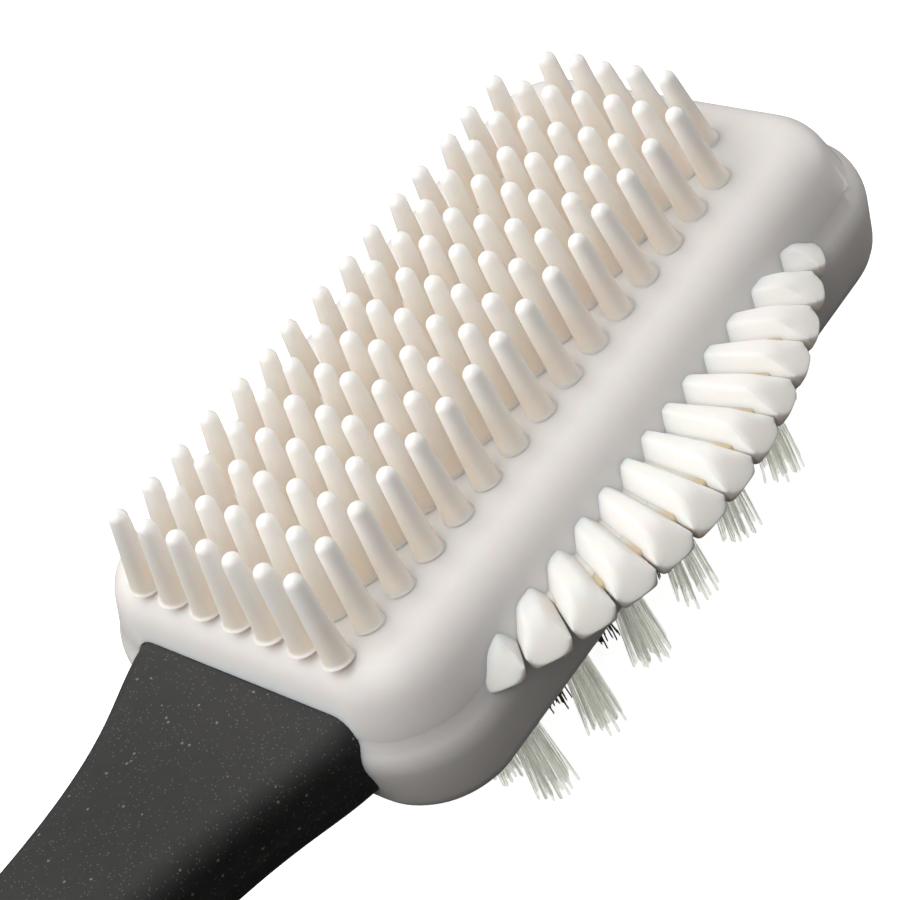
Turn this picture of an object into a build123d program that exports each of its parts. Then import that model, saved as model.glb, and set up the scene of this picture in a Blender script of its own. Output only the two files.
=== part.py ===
"""Hand brush with a soft nub face, a crescent of soft fingers, bristle tufts and a slim handle.

Frame: the origin is on the plane of the trimmed bristle ends, under the middle of the head.
+X runs from the handle to the far end of the head, +Z points from the bristles to the nubs,
and the crescent of fingers is on the -Y side. All sizes are in millimetres.
"""
from build123d import *
import math
import os

# ---- Head -------------------------------------------------------------------------------
head_length = 74.2          # at the mould line, along X
head_width = 40.8           # at the mould line, along Y
head_height = 15.5          # from the underside to the lowest point of the nub face
head_corner = 8.0           # plan radius of the four corners at the mould line
mould_line_drop = 5.2       # from the nub face down to the mould line
upper_draft = 20.0          # degrees that the wall above the mould line leans inwards
top_round = 4.2             # rounding between the upper wall and the nub face
face_radius = 620.0         # the nub face is hollow along X, on this radius
bulge = 1.1                 # how far the lower half stands out past the mould line, at the sides
bulge_near = 1.1            # the same, at the handle's end
bulge_far = 1.7             # the same, at the far end
bulge_drop = 2.6            # from the mould line down to the widest place
bulge_round = 4.5           # rounding at the widest place
lower_draft = 7.0           # degrees that the wall under the widest place leans inwards
bottom_round = 2.8          # rounding at the underside

# ---- Soft nubs --------------------------------------------------------------------------
nub_pitch_x = 4.2           # between nubs along the head
nub_pitch_y = 3.88          # between columns of nubs
nub_rows = 16
nub_columns = 7
nub_height = 9.1            # from the face to the tip
nub_base_radius = 1.27
nub_tip_radius = 0.92
nub_grid_x = -2.3           # middle of the grid of nubs
nub_lean_x = 7.0            # degrees that the end rows lean towards the middle
nub_lean_y = 7.5            # degrees that the outer columns lean towards the middle
nub_root = 1.2              # part of the nub buried in the face
nub_seam_turn = 45          # degrees

# ---- Crescent of soft fingers -----------------------------------------------------------
finger_count = 13
finger_arc_radius = 47.0    # the finger tips lie on this arc
finger_stand = 9.3          # how far the arc's outermost place stands out past the mould line
finger_arc_span = 67.0      # degrees from the first finger to the last
finger_centre_x = -1.6      # middle of the crescent along the head
finger_fan_depth = 36.0     # the fingers point away from a place this far behind the arc
finger_top_drop = 3.3       # from the nub face down to the top of a finger
finger_height = 4.6
finger_tip_width = 3.9
finger_root_width = 2.5
finger_length = 12.0        # with the part that is buried in the head
finger_tip_round = 1.6
web_height = 1.8
web_setback = 2.6           # the web between the fingers ends this far short of their tips
web_end_setback = 8.5       # half the web's width is this much less than the outer tips' reach

# ---- Bristle block and its tufts --------------------------------------------------------
rim_wall = 2.8              # soft skin between the block's side and the mould line's outline
end_wall = 3.9              # the same, at the two ends
roof_wall = 4.2             # soft skin above the block
block_corner = 5.0
tuft_side_margin = 2.0      # from the outermost row of tufts to the side of the block
tuft_end_margin = 9.2       # from the last column of tufts to the end of the block
tuft_first_column = -3      # columns are counted from the middle of the head
tuft_last_column = 3
side_row = 3                # outermost row of tufts on each side
side_last_column = 2        # the side rows stop before the far corners
bristle_length = 13.0       # exposed length of a tuft
hole_radius = 1.2
tang_floor = 1.2            # from the bottom of a tuft's hole to the tang above it
tuft_clearance = 0.05       # between a tuft and the wall of its hole
nylon_tip_share = 6 / 13    # a nylon tuft's radius at its trimmed end, as a share of the row spacing
brass_tip_share = 4 / 13    # the same for a brass tuft
anchor_bite = 0.25          # how far each end of an anchor goes into the wall of its hole
anchor_height = 1.5
anchor_thickness = 0.35
anchor_lift = 0.6           # from the bottom of the hole to the anchor

# ---- Handle -----------------------------------------------------------------------------
grip_skin = 2.0             # thickness of the soft grip over the rigid core
handle_reach = 115.0        # from the middle of the head to the end of the handle
handle_entry = 2.9          # how far the grip goes into the head
handle_top_drop = 3.8       # from the nub face to the top of the handle where it leaves the head
neck_thickness = 9.0        # where the handle leaves the head
# Sections of the grip from the neck to the nose, as (share of the free length, half width,
# rise of the top face, share of the neck's thickness)
grip_sections = [(0.0, 13.4, 0.0, 1.0), (0.09, 11.1, 0.0, 0.98), (0.25, 8.2, 1.0, 1.0),
                 (0.40, 7.5, 2.1, 1.03), (0.58, 8.5, 2.0, 1.09), (0.76, 9.3, 0.5, 1.12),
                 (0.89, 8.2, -1.2, 1.03), (0.97, 5.6, -2.9, 0.76), (1.0, 3.4, -4.0, 0.52)]
grip_corner = 2.6           # rounding along the grip's four edges
grip_nose_round = 1.6       # rounding at the end of the handle
section_gap = 0.5           # sections of the handle are at least this far apart
core_half_width = 1.2       # least half width of the core, near the nose
core_half_height = 0.9      # least half height of the core, near the nose
core_corner = 0.8           # least rounding along the core's edges
tang_length = 20.0          # reach of the tang past the grip's end
tang_width = 12.0
tang_height = 4.0
tang_rise = 0.2             # from the middle of the neck up to the middle of the tang
tang_overlap = 1.0          # how far the tang starts inside the core

# ---- Levels and places that follow ------------------------------------------------------
underside_z = bristle_length
face_z = underside_z + head_height
mould_z = face_z - mould_line_drop
widest_z = mould_z - bulge_drop
head_near_x = -head_length / 2
block_length = head_length - 2 * end_wall
block_width = head_width - 2 * rim_wall
block_top_z = face_z - roof_wall
grip_end_x = head_near_x + handle_entry
handle_top_z = face_z - handle_top_drop
tang_z = handle_top_z - neck_thickness / 2 + tang_rise
free_length = handle_reach + head_near_x
hole_depth = tang_z - tang_height / 2 - tang_floor - underside_z
tuft_pitch_x = (block_length / 2 - tuft_end_margin) / tuft_last_column
tuft_pitch_y = (block_width / 2 - tuft_side_margin) / side_row
nylon_tip_radius = nylon_tip_share * tuft_pitch_y
brass_tip_radius = brass_tip_share * tuft_pitch_y
finger_arc_reach = head_width / 2 + finger_stand
finger_fan_y = finger_fan_depth - finger_arc_reach
finger_top_z = face_z - finger_top_drop
anchor_length = 2 * (hole_radius + anchor_bite)
tolerance = 0.01            # for picking out edges that lie in a plane


def rounded_slab(length, width, corner, centre_x, z):
    """A flat face with rounded corners, at height z."""
    return Plane.XY.offset(z) * Pos(centre_x, 0) * RectangleRounded(length, width, corner)


def head_upper():
    """The half above the mould line: drafted walls, hollow nub face, rounded rim."""
    end_rise = head_length**2 / (8 * face_radius) + 0.5
    height = mould_line_drop + end_rise
    body = extrude(rounded_slab(head_length, head_width, head_corner, 0, mould_z),
                   height, taper=upper_draft)
    hollow = Pos(0, 0, face_z + face_radius) * Rot(90, 0, 0) * Cylinder(face_radius, 2 * head_width)
    body = body - hollow
    rim = [e for e in body.edges() if e.bounding_box().min.Z > face_z - 0.2]
    return fillet(rim, top_round)


def head_lower():
    """The half under the mould line, which bulges out and then rounds in to the underside."""
    wide_length = head_length + bulge_near + bulge_far
    wide_width = head_width + 2 * bulge
    shift = (bulge_far - bulge_near) / 2
    inset = (widest_z - underside_z) * math.tan(math.radians(lower_draft))
    at_mould = rounded_slab(head_length, head_width, head_corner, 0, mould_z)
    at_widest = rounded_slab(wide_length, wide_width, head_corner + bulge, shift, widest_z)
    at_bottom = rounded_slab(wide_length - 2 * inset, wide_width - 2 * inset,
                             head_corner + bulge - inset, shift, underside_z)
    body = loft([at_mould, at_widest]) + loft([at_widest, at_bottom])
    widest = [e for e in body.edges() if abs(e.bounding_box().min.Z - widest_z) < tolerance
              and abs(e.bounding_box().max.Z - widest_z) < tolerance]
    body = fillet(widest, bulge_round)
    bottom = [e for e in body.edges() if e.bounding_box().max.Z < underside_z + tolerance]
    return fillet(bottom, bottom_round)


def nub():
    """One tapered nub with a round tip, standing on the XY plane with its root below it."""
    centre = nub_height - nub_tip_radius
    side = Line((nub_base_radius, -nub_root), (nub_tip_radius, centre))
    tip = CenterArc((0, centre), nub_tip_radius, 0, 90)
    axis = Line((0, nub_height), (0, -nub_root))
    base = Line((0, -nub_root), (nub_base_radius, -nub_root))
    return revolve(Plane.XZ * make_face([side, tip, axis, base]), Axis.Z)


def nub_places():
    """Where each nub stands and how it leans. The far row leaves out its two corner nubs.

    Each nub is turned about its own axis so that its seam lies between the rows.
    """
    half_rows = (nub_rows - 1) / 2
    half_columns = (nub_columns - 1) / 2
    for row in range(nub_rows):
        for column in range(nub_columns):
            if row == nub_rows - 1 and column in (0, nub_columns - 1):
                continue
            along = row - half_rows
            across = column - half_columns
            x = nub_grid_x + along * nub_pitch_x
            y = across * nub_pitch_y
            z = face_z + x**2 / (2 * face_radius)
            lean_y = -nub_lean_x * along / half_rows
            lean_x = nub_lean_y * across / half_columns
            yield Pos(x, y, z) * Rot(lean_x, lean_y, 0) * Rot(0, 0, nub_seam_turn)


def finger():
    """One finger along -Y with its tip at the origin, wider and rounded at the tip."""
    outline = make_face(Polyline(
        (-finger_tip_width / 2, 0), (-finger_root_width / 2, finger_length),
        (finger_root_width / 2, finger_length), (finger_tip_width / 2, 0), close=True))
    bar = Pos(0, 0, finger_top_z - finger_height) * extrude(outline, finger_height)
    corners = bar.edges().filter_by(Axis.Z).sort_by(Axis.Y)[:2]
    bar = fillet(corners, finger_tip_round)
    nose = [e for e in bar.edges() if e.bounding_box().max.Y < finger_tip_width / 2
            and e.bounding_box().min.Z > finger_top_z - tolerance]
    return fillet(nose, finger_tip_round * 0.75)


def finger_places():
    """Where each finger's tip is, and which way it points."""
    for number in range(finger_count):
        angle = math.radians((number / (finger_count - 1) - 0.5) * finger_arc_span)
        x = finger_centre_x + finger_arc_radius * math.sin(angle)
        y = finger_arc_radius * (1 - math.cos(angle)) - finger_arc_reach
        turn = math.degrees(math.atan2(x - finger_centre_x, finger_fan_y - y))
        yield Pos(x, y, 0) * Rot(0, 0, turn)


def crescent_web():
    """The thin web that joins the fingers near the mould line."""
    radius = finger_arc_radius
    centre_y = radius - finger_arc_reach
    half_span = radius * math.sin(math.radians(finger_arc_span / 2)) - web_end_setback
    disc = Pos(finger_centre_x, centre_y) * Circle(radius - web_setback)
    strip = Pos(finger_centre_x, -head_width / 2) * Rectangle(2 * half_span, head_width)
    middle_z = finger_top_z - finger_height / 2
    return Pos(0, 0, middle_z - web_height / 2) * extrude(disc & strip, web_height)


def grip_section(x, half_width, top, thickness, inset):
    """One cross-section of the handle, or of the core at a depth inside it."""
    half_height = thickness / 2 - inset
    half_side = half_width - inset
    corner = grip_corner
    if inset:
        half_height = max(half_height, core_half_height)
        half_side = max(half_side, core_half_width)
        corner = max(grip_corner - inset, core_corner)
    corner = min(corner, 0.9 * half_height)
    plane = Plane((x, 0, top - thickness / 2), x_dir=(0, 1, 0), z_dir=(-1, 0, 0))
    return plane * RectangleRounded(2 * half_side, 2 * half_height, corner)


def handle_body(inset, start_x):
    """The handle's outer shape, or the core at a depth inside it, from start_x to its nose."""
    length = free_length - inset
    sections = [grip_section(start_x, grip_sections[0][1], handle_top_z, neck_thickness, inset)]
    for share, half_width, rise, thickness_share in grip_sections:
        x = head_near_x - share * length
        if x < start_x - section_gap:
            thickness = thickness_share * neck_thickness
            sections.append(grip_section(x, half_width, handle_top_z + rise, thickness, inset))
    return loft(sections)


def grip_outside():
    """The grip's outer shape with a rounded nose."""
    body = handle_body(0, grip_end_x)
    nose = [e for e in body.edges() if e.bounding_box().max.X < tolerance - handle_reach]
    return fillet(nose, grip_nose_round)


def tang():
    """The flat tongue of the core that is held in the block."""
    near_x = head_near_x - tang_overlap
    far_x = grip_end_x + tang_length
    return Pos((near_x + far_x) / 2, 0, tang_z) * Box(far_x - near_x, tang_width, tang_height)


def core_inside():
    """The rigid core in the grip, without its tang."""
    return handle_body(grip_skin, head_near_x)


def tuft_rows():
    """Each row of tufts as (name, kind, places), in the order that they stand across the head."""
    columns = range(tuft_first_column, tuft_last_column + 1)
    side_columns = range(tuft_first_column, side_last_column + 1)
    inner = range(1 - side_row, side_row)
    groups = [("crescent_side", "nylon", [(c, -side_row) for c in side_columns]),
              ("plain_side", "nylon", [(c, side_row) for c in side_columns]),
              ("handle_end", "nylon", [(columns[0], r) for r in inner]),
              ("far_end", "nylon", [(columns[-1], r) for r in inner])]
    for row in inner:
        groups.append((f"row_{row + side_row}", "brass", [(c, row) for c in columns[1:-1]]))
    return [(name, kind, [(c * tuft_pitch_x, r * tuft_pitch_y) for c, r in cells])
            for name, kind, cells in groups]


def anchor(x, y):
    """The flat metal strip that holds one folded tuft in its hole."""
    z = underside_z + hole_depth - anchor_lift - anchor_height / 2
    return Pos(x, y, z) * Box(anchor_length, anchor_thickness, anchor_height)


def tuft(x, y, tip_radius):
    """One tuft: a round root in its hole and a free length that spreads to its trimmed end."""
    root_radius = hole_radius - tuft_clearance
    root = Pos(x, y, underside_z + hole_depth / 2) * Cylinder(root_radius, hole_depth)
    free = Pos(x, y, bristle_length / 2) * Cone(tip_radius, root_radius, bristle_length)
    return root + free - anchor(x, y)


def hole(x, y):
    """The blind hole of one tuft, from the underside up."""
    return Pos(x, y, underside_z + hole_depth / 2) * Cylinder(hole_radius, hole_depth)


def block_outside():
    """The rigid block's outer shape."""
    base = rounded_slab(block_length, block_width, block_corner, 0, underside_z)
    return extrude(base, block_top_z - underside_z)


def save(shape, node):
    """Write one node to its own file."""
    shape.label = node
    export_step(shape, f"parts/{node}.step")


def main():
    """Build every piece and write it out."""
    os.makedirs("parts", exist_ok=True)
    rows = tuft_rows()
    places = [p for name, kind, points in rows for p in points]
    grip_outer = grip_outside()
    core = core_inside()
    tongue = tang()
    block_outer = block_outside()

    nubs = [place * nub() for place in nub_places()]
    fingers = [place * finger() for place in finger_places()]
    cover = head_upper() + head_lower()
    cover = cover + crescent_web() + fingers + nubs
    save(cover - block_outer - grip_outer - tongue, "rubber_cover")

    holes = [hole(x, y) for x, y in places]
    anchors = [anchor(x, y) for x, y in places]
    save(block_outer - holes - anchors - tongue, "bristle_block")
    save(core + tongue, "handle_core")
    save(grip_outer - core - tongue, "handle_grip")

    tip_radius = {"nylon": nylon_tip_radius, "brass": brass_tip_radius}
    for name, kind, points in rows:
        save(Compound([tuft(x, y, tip_radius[kind]) for x, y in points]), f"{kind}_tufts_{name}")
        save(Compound([anchor(x, y) for x, y in points]), f"{kind}_anchors_{name}")


main()
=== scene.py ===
"""Visual model of a hand cleaning brush.

A white rubber head carries a field of soft nubs and a crescent of soft fingers. Nylon and brass
tufts stand in the block under it, and a slim black handle enters its end. All lengths in the
classes below are in millimetres unless a name says otherwise; meshes are written in metres.
"""
from __future__ import annotations

import logging
import math
import random
from dataclasses import dataclass, field
from enum import Enum
from typing import Callable, Iterable

import bmesh
import bpy
from mathutils import Matrix, Vector, noise


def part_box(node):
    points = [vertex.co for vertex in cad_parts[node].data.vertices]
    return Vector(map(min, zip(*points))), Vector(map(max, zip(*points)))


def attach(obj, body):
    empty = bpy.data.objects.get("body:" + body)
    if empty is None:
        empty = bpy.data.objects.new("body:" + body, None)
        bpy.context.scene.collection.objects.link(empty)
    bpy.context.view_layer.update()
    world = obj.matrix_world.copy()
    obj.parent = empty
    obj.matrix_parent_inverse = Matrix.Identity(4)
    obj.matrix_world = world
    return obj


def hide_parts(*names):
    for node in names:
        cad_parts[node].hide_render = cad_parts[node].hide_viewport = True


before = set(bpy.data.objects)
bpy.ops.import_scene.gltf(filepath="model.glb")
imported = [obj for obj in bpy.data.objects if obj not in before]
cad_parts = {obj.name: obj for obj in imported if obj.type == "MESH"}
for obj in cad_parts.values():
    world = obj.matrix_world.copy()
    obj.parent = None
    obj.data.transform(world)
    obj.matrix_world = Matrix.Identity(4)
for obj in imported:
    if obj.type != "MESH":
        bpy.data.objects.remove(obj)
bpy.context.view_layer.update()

MM = 0.001
BODY = "root"
log = logging.getLogger("hand_brush")


# ---- Shader building --------------------------------------------------------------------
class Value:
    """A shader socket that takes part in Python arithmetic."""

    def __init__(self, shader: "Shader", socket: bpy.types.NodeSocket) -> None:
        """Wrap one output socket.

        Args:
            shader: the material that the socket belongs to.
            socket: the output socket.
        """
        self.shader = shader
        self.socket = socket

    def _math(self, operation: str, first: object, second: object = None) -> "Value":
        """Add one Math node.

        Args:
            operation: the Math node's operation.
            first: its first input, a Value or a number.
            second: its second input, if the operation has one.

        Returns:
            The node's result.
        """
        values = {0: first} if second is None else {0: first, 1: second}
        node = self.shader.node("ShaderNodeMath", {"operation": operation}, values)
        return Value(self.shader, node.outputs[0])

    def __add__(self, other: object) -> "Value":
        """Sum."""
        return self._math("ADD", self, other)

    def __radd__(self, other: object) -> "Value":
        """Reflected sum."""
        return self._math("ADD", other, self)

    def __sub__(self, other: object) -> "Value":
        """Difference."""
        return self._math("SUBTRACT", self, other)

    def __rsub__(self, other: object) -> "Value":
        """Reflected difference."""
        return self._math("SUBTRACT", other, self)

    def __mul__(self, other: object) -> "Value":
        """Product."""
        return self._math("MULTIPLY", self, other)

    def __rmul__(self, other: object) -> "Value":
        """Reflected product."""
        return self._math("MULTIPLY", other, self)

    def __truediv__(self, other: object) -> "Value":
        """Quotient."""
        return self._math("DIVIDE", self, other)

    def __lt__(self, other: object) -> "Value":
        """One where this value is the smaller, and zero elsewhere."""
        return self._math("LESS_THAN", self, other)

    def __gt__(self, other: object) -> "Value":
        """One where this value is the larger, and zero elsewhere."""
        return self._math("GREATER_THAN", self, other)


class Shader:
    """One material's node tree, with the patterns that the finishes share."""

    def __init__(self, name: str) -> None:
        """Start an empty material.

        Args:
            name: the material's name.
        """
        self.material = bpy.data.materials.new(name)
        self.material.use_nodes = True
        self.tree = self.material.node_tree
        self.tree.nodes.clear()
        self.place = Value(self, self.node("ShaderNodeTexCoord").outputs["Object"])

    def node(self, kind: str, settings: dict | None = None, values: dict | None = None) -> bpy.types.Node:
        """Add any node.

        Args:
            kind: the node's type.
            settings: its properties, set first; "stops" fills a colour ramp.
            values: its inputs by name, identifier or number, each a Value, a socket or a constant.

        Returns:
            The new node.
        """
        made = self.tree.nodes.new(kind)
        for key, setting in (settings or {}).items():
            if key == "stops":
                self._fill_ramp(made, setting)
            else:
                setattr(made, key, setting)
        for key, value in (values or {}).items():
            self._feed(self._input(made, key), value)
        return made

    @staticmethod
    def _fill_ramp(ramp: bpy.types.Node, stops: list) -> None:
        """Give a colour ramp its stops.

        Args:
            ramp: the ramp node.
            stops: pairs of position and colour.
        """
        elements = ramp.color_ramp.elements
        while len(elements) < len(stops):
            elements.new(0.5)
        for element, (position, colour) in zip(elements, stops):
            element.position = position
            element.color = (*colour, 1.0)

    @staticmethod
    def _input(node: bpy.types.Node, key: object) -> bpy.types.NodeSocket:
        """Find an input by number, identifier or name."""
        if isinstance(key, int):
            return node.inputs[key]
        matches = [s for s in node.inputs if s.identifier == key]
        return matches[0] if matches else node.inputs[key]

    def _feed(self, socket: bpy.types.NodeSocket, value: object) -> None:
        """Link or set one input.

        Args:
            socket: the input.
            value: a Value or socket to link, or a constant; three numbers fill a colour.
        """
        if isinstance(value, Value):
            self.tree.links.new(value.socket, socket)
        elif isinstance(value, bpy.types.NodeSocket):
            self.tree.links.new(value, socket)
        elif isinstance(value, tuple) and socket.type == "RGBA":
            socket.default_value = (*value, 1.0)
        else:
            socket.default_value = value

    def noise(self, size: float, detail: float = 3.0, stretch: tuple | None = None) -> Value:
        """Soft cloudy variation from 0 to 1.

        Args:
            size: the width of one cloud in millimetres.
            detail: how many finer octaves it has.
            stretch: scale of the pattern along X, Y and Z, if it isn't even.

        Returns:
            The pattern.
        """
        where = self.place
        if stretch:
            mapping = self.node("ShaderNodeMapping", {}, {"Vector": where, "Scale": stretch})
            where = Value(self, mapping.outputs[0])
        values = {"Vector": where, "Scale": 1 / (size * MM), "Detail": detail, "Roughness": 0.55}
        return Value(self, self.node("ShaderNodeTexNoise", {}, values).outputs[0])

    def dots(self, spacing: float, radius: float, share: float) -> Value:
        """Scattered round specks, one inside each and zero elsewhere.

        Args:
            spacing: the mean distance between places where a speck may be, in millimetres.
            radius: a speck's radius in millimetres.
            share: the share of places that hold a speck.

        Returns:
            The mask.
        """
        cells = self.node("ShaderNodeTexVoronoi", {}, {"Vector": self.place, "Scale": 1 / (spacing * MM)})
        chosen = Value(self, self.node("ShaderNodeSeparateColor", {}, {0: cells.outputs["Color"]}).outputs[0])
        near = Value(self, cells.outputs["Distance"]) < radius / spacing
        return near * (chosen < share)

    def height(self) -> Value:
        """The height above the bristle ends, in metres."""
        return Value(self, self.node("ShaderNodeSeparateXYZ", {}, {0: self.place}).outputs[2])

    def ramp(self, value: Value, low: float, high: float) -> Value:
        """A smooth step from 0 at low to 1 at high."""
        values = {"Value": value, "From Min": low, "From Max": high}
        settings = {"interpolation_type": "SMOOTHSTEP"}
        return Value(self, self.node("ShaderNodeMapRange", settings, values).outputs[0])

    def mix(self, factor: object, first: object, second: object) -> Value:
        """Blend two colours.

        Args:
            factor: 0 gives the first colour and 1 the second.
            first: a colour or a Value.
            second: a colour or a Value.

        Returns:
            The blended colour.
        """
        values = {"Factor_Float": factor, "A_Color": first, "B_Color": second}
        mixed = self.node("ShaderNodeMix", {"data_type": "RGBA"}, values)
        return Value(self, [s for s in mixed.outputs if s.identifier == "Result_Color"][0])

    def bump(self, height: Value, depth: float, strength: float = 1.0) -> Value:
        """A bumped normal.

        Args:
            height: the pattern, from 0 to 1.
            depth: how deep the pattern is, in millimetres.
            strength: the share of the effect that shows.

        Returns:
            The normal.
        """
        values = {"Height": height, "Distance": depth * MM, "Strength": strength}
        return Value(self, self.node("ShaderNodeBump", {}, values).outputs[0])

    def surface(self, values: dict) -> bpy.types.Material:
        """Finish the material with a principled surface.

        Args:
            values: the surface's inputs.

        Returns:
            The material.
        """
        skin = self.node("ShaderNodeBsdfPrincipled", {}, values)
        self.node("ShaderNodeOutputMaterial", {}, {"Surface": skin.outputs[0]})
        return self.material


# ---- Finishes ---------------------------------------------------------------------------
Colour = tuple[float, float, float]


@dataclass(frozen=True)
class SoftRubber:
    """White moulded rubber that lets a little light through.

    The colour goes from a darker low tone at low_z to a lighter high tone at high_z, which is painted
    shade on the lower part and painted light on the top, with faint clouds, a fine satin grain and a few specks of
    dust.
    """

    name: str
    shaded_low_tone: Colour
    lit_high_tone: Colour
    low_z: float
    high_z: float
    glow: float = 0.6
    glow_depth: float = 2.2
    roughness: float = 0.36
    grain_depth: float = 0.012
    dust_share: float = 0.10
    cloud_tone: Colour = (0.80, 0.755, 0.735)

    def make(self) -> bpy.types.Material:
        """Build the material."""
        s = Shader(self.name)
        # Painted shade and light: the colour is darker towards the bottom and lighter towards the top.
        tone = s.mix(s.ramp(s.height(), self.low_z * MM, self.high_z * MM), self.shaded_low_tone, self.lit_high_tone)
        cloud = s.ramp(s.noise(9.0), 0.42, 0.72)
        tone = s.mix(cloud * 0.22, tone, self.cloud_tone)
        tone = s.mix(s.dots(5.0, 0.085, self.dust_share) * 0.75, tone, (0.12, 0.10, 0.09))
        grain = s.noise(0.35, 2.0)
        waves = s.noise(3.2, 2.0)
        return s.surface({
            "Base Color": tone,
            "Roughness": self.roughness + grain * 0.10 + cloud * 0.06,
            "Subsurface Weight": self.glow,
            "Subsurface Radius": (1.0, 0.62, 0.45),
            "Subsurface Scale": self.glow_depth * MM,
            "Specular IOR Level": 0.5,
            "Sheen Weight": 0.06,
            "Sheen Roughness": 0.5,
            "Normal": s.bump(grain * 0.35 + waves * 0.65, self.grain_depth),
        })


@dataclass(frozen=True)
class WebRubber:
    """The thin web's rubber, cream at the head, and amber where it ends between two fingers, which is painted shade
    in the pits there.
    """

    name: str = "web_rubber"
    cream: Colour = (0.84, 0.78, 0.70)
    pit_shade_amber: Colour = (0.72, 0.57, 0.38)
    centre: tuple = (-1.6, 17.3)
    cream_radius: float = 41.6
    pit_shade_radius: float = 43.6

    def make(self) -> bpy.types.Material:
        """Build the material."""
        s = Shader(self.name)
        shift = s.node("ShaderNodeMapping", {"vector_type": "POINT"}, {
            "Vector": s.place, "Location": (-self.centre[0] * MM, -self.centre[1] * MM, 0),
            "Scale": (1.0, 1.0, 0.0)})
        length = s.node("ShaderNodeVectorMath", {"operation": "LENGTH"}, {0: shift.outputs[0]})
        # Painted shade: the web turns amber towards its outer end, in the pits between the finger tips.
        edge = s.ramp(Value(s, length.outputs["Value"]), self.cream_radius * MM, self.pit_shade_radius * MM)
        grain = s.noise(0.5, 2.0)
        return s.surface({
            "Base Color": s.mix(edge, self.cream, self.pit_shade_amber),
            "Roughness": 0.36 + grain * 0.10,
            "Subsurface Weight": 0.5,
            "Subsurface Radius": (1.0, 0.6, 0.4),
            "Subsurface Scale": 1.2 * MM,
            "Normal": s.bump(grain, 0.006),
        })


@dataclass(frozen=True)
class GripRubber:
    """Matte black rubber with a fine pale speckle and a soft mottle."""

    name: str = "grip_rubber"
    dark: Colour = (0.006, 0.006, 0.0058)
    light: Colour = (0.011, 0.011, 0.0105)
    speckle: Colour = (0.17, 0.165, 0.14)

    def make(self) -> bpy.types.Material:
        """Build the material."""
        s = Shader(self.name)
        mottle = s.noise(1.6, 4.0)
        tone = s.mix(s.ramp(mottle, 0.3, 0.7), self.dark, self.light)
        fine = s.dots(0.36, 0.07, 0.8)
        coarse = s.dots(1.3, 0.13, 0.6)
        tone = s.mix(fine * 0.40, tone, self.speckle)
        tone = s.mix(coarse * 0.80, tone, self.speckle)
        grain = s.noise(0.16, 3.0)
        return s.surface({
            "Base Color": tone,
            "Roughness": 0.56 + mottle * 0.12,
            "Specular IOR Level": 0.5,
            "Sheen Weight": 0.05,
            "Sheen Roughness": 0.4,
            "Normal": s.bump(grain, 0.022),
        })


@dataclass(frozen=True)
class ClearNylon:
    """Clear drawn nylon, slightly grey, with faint draw lines along each filament."""

    name: str = "clear_nylon"
    tone: Colour = (0.97, 0.975, 0.93)
    haze: Colour = (0.93, 0.935, 0.87)

    def make(self) -> bpy.types.Material:
        """Build the material."""
        s = Shader(self.name)
        streaks = s.noise(0.5, 2.0, (1.0, 1.0, 0.12))
        return s.surface({
            "Base Color": s.mix(streaks, self.tone, self.haze),
            "Roughness": 0.10 + streaks * 0.14,
            "IOR": 1.36,
            "Transmission Weight": 0.85,
            "Normal": s.bump(streaks, 0.006),
        })


@dataclass(frozen=True)
class BrassWire:
    """Drawn brass with brown tarnish."""

    name: str = "brass_wire"
    bright: Colour = (0.68, 0.46, 0.17)
    tarnish: Colour = (0.20, 0.12, 0.045)

    def make(self) -> bpy.types.Material:
        """Build the material."""
        s = Shader(self.name)
        stain = s.ramp(s.noise(1.1, 3.0), 0.38, 0.66)
        return s.surface({
            "Base Color": s.mix(stain, self.bright, self.tarnish),
            "Metallic": 1.0 - stain * 0.25,
            "Roughness": 0.26 + stain * 0.30,
            "Normal": s.bump(s.noise(0.12, 2.0), 0.008),
        })


@dataclass(frozen=True)
class HardPlastic:
    """Moulded plastic with a fine spark texture and faint flow clouds."""

    name: str
    tone: Colour
    cloud: Colour
    roughness: float

    def make(self) -> bpy.types.Material:
        """Build the material."""
        s = Shader(self.name)
        flow = s.noise(6.0, 3.0, (0.4, 1.0, 1.0))
        grain = s.noise(0.14, 2.0)
        return s.surface({
            "Base Color": s.mix(flow, self.tone, self.cloud),
            "Roughness": self.roughness + flow * 0.10,
            "Normal": s.bump(grain, 0.012),
        })


@dataclass(frozen=True)
class AnchorMetal:
    """Stamped nickel silver strip."""

    name: str = "anchor_metal"

    def make(self) -> bpy.types.Material:
        """Build the material."""
        s = Shader(self.name)
        lines = s.noise(0.3, 2.0, (0.1, 1.0, 1.0))
        return s.surface({
            "Base Color": s.mix(lines, (0.60, 0.59, 0.56), (0.46, 0.45, 0.43)),
            "Metallic": 1.0,
            "Roughness": 0.24 + lines * 0.20,
            "Normal": s.bump(lines, 0.006),
        })


@dataclass(frozen=True)
class PaleFloor:
    """A smooth pale studio floor, lit a little from inside like a light table."""

    name: str = "pale_floor"
    own_light: float = 0.92

    def make(self) -> bpy.types.Material:
        """Build the material."""
        s = Shader(self.name)
        clouds = s.noise(60.0, 2.0)
        return s.surface({
            "Base Color": s.mix(clouds, (0.86, 0.86, 0.855), (0.84, 0.84, 0.835)),
            "Roughness": 0.85,
            "Specular IOR Level": 0.15,
            "Emission Color": (1.0, 1.0, 1.0),
            "Emission Strength": self.own_light,
            "Normal": s.bump(s.noise(1.2, 2.0), 0.01),
        })


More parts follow.
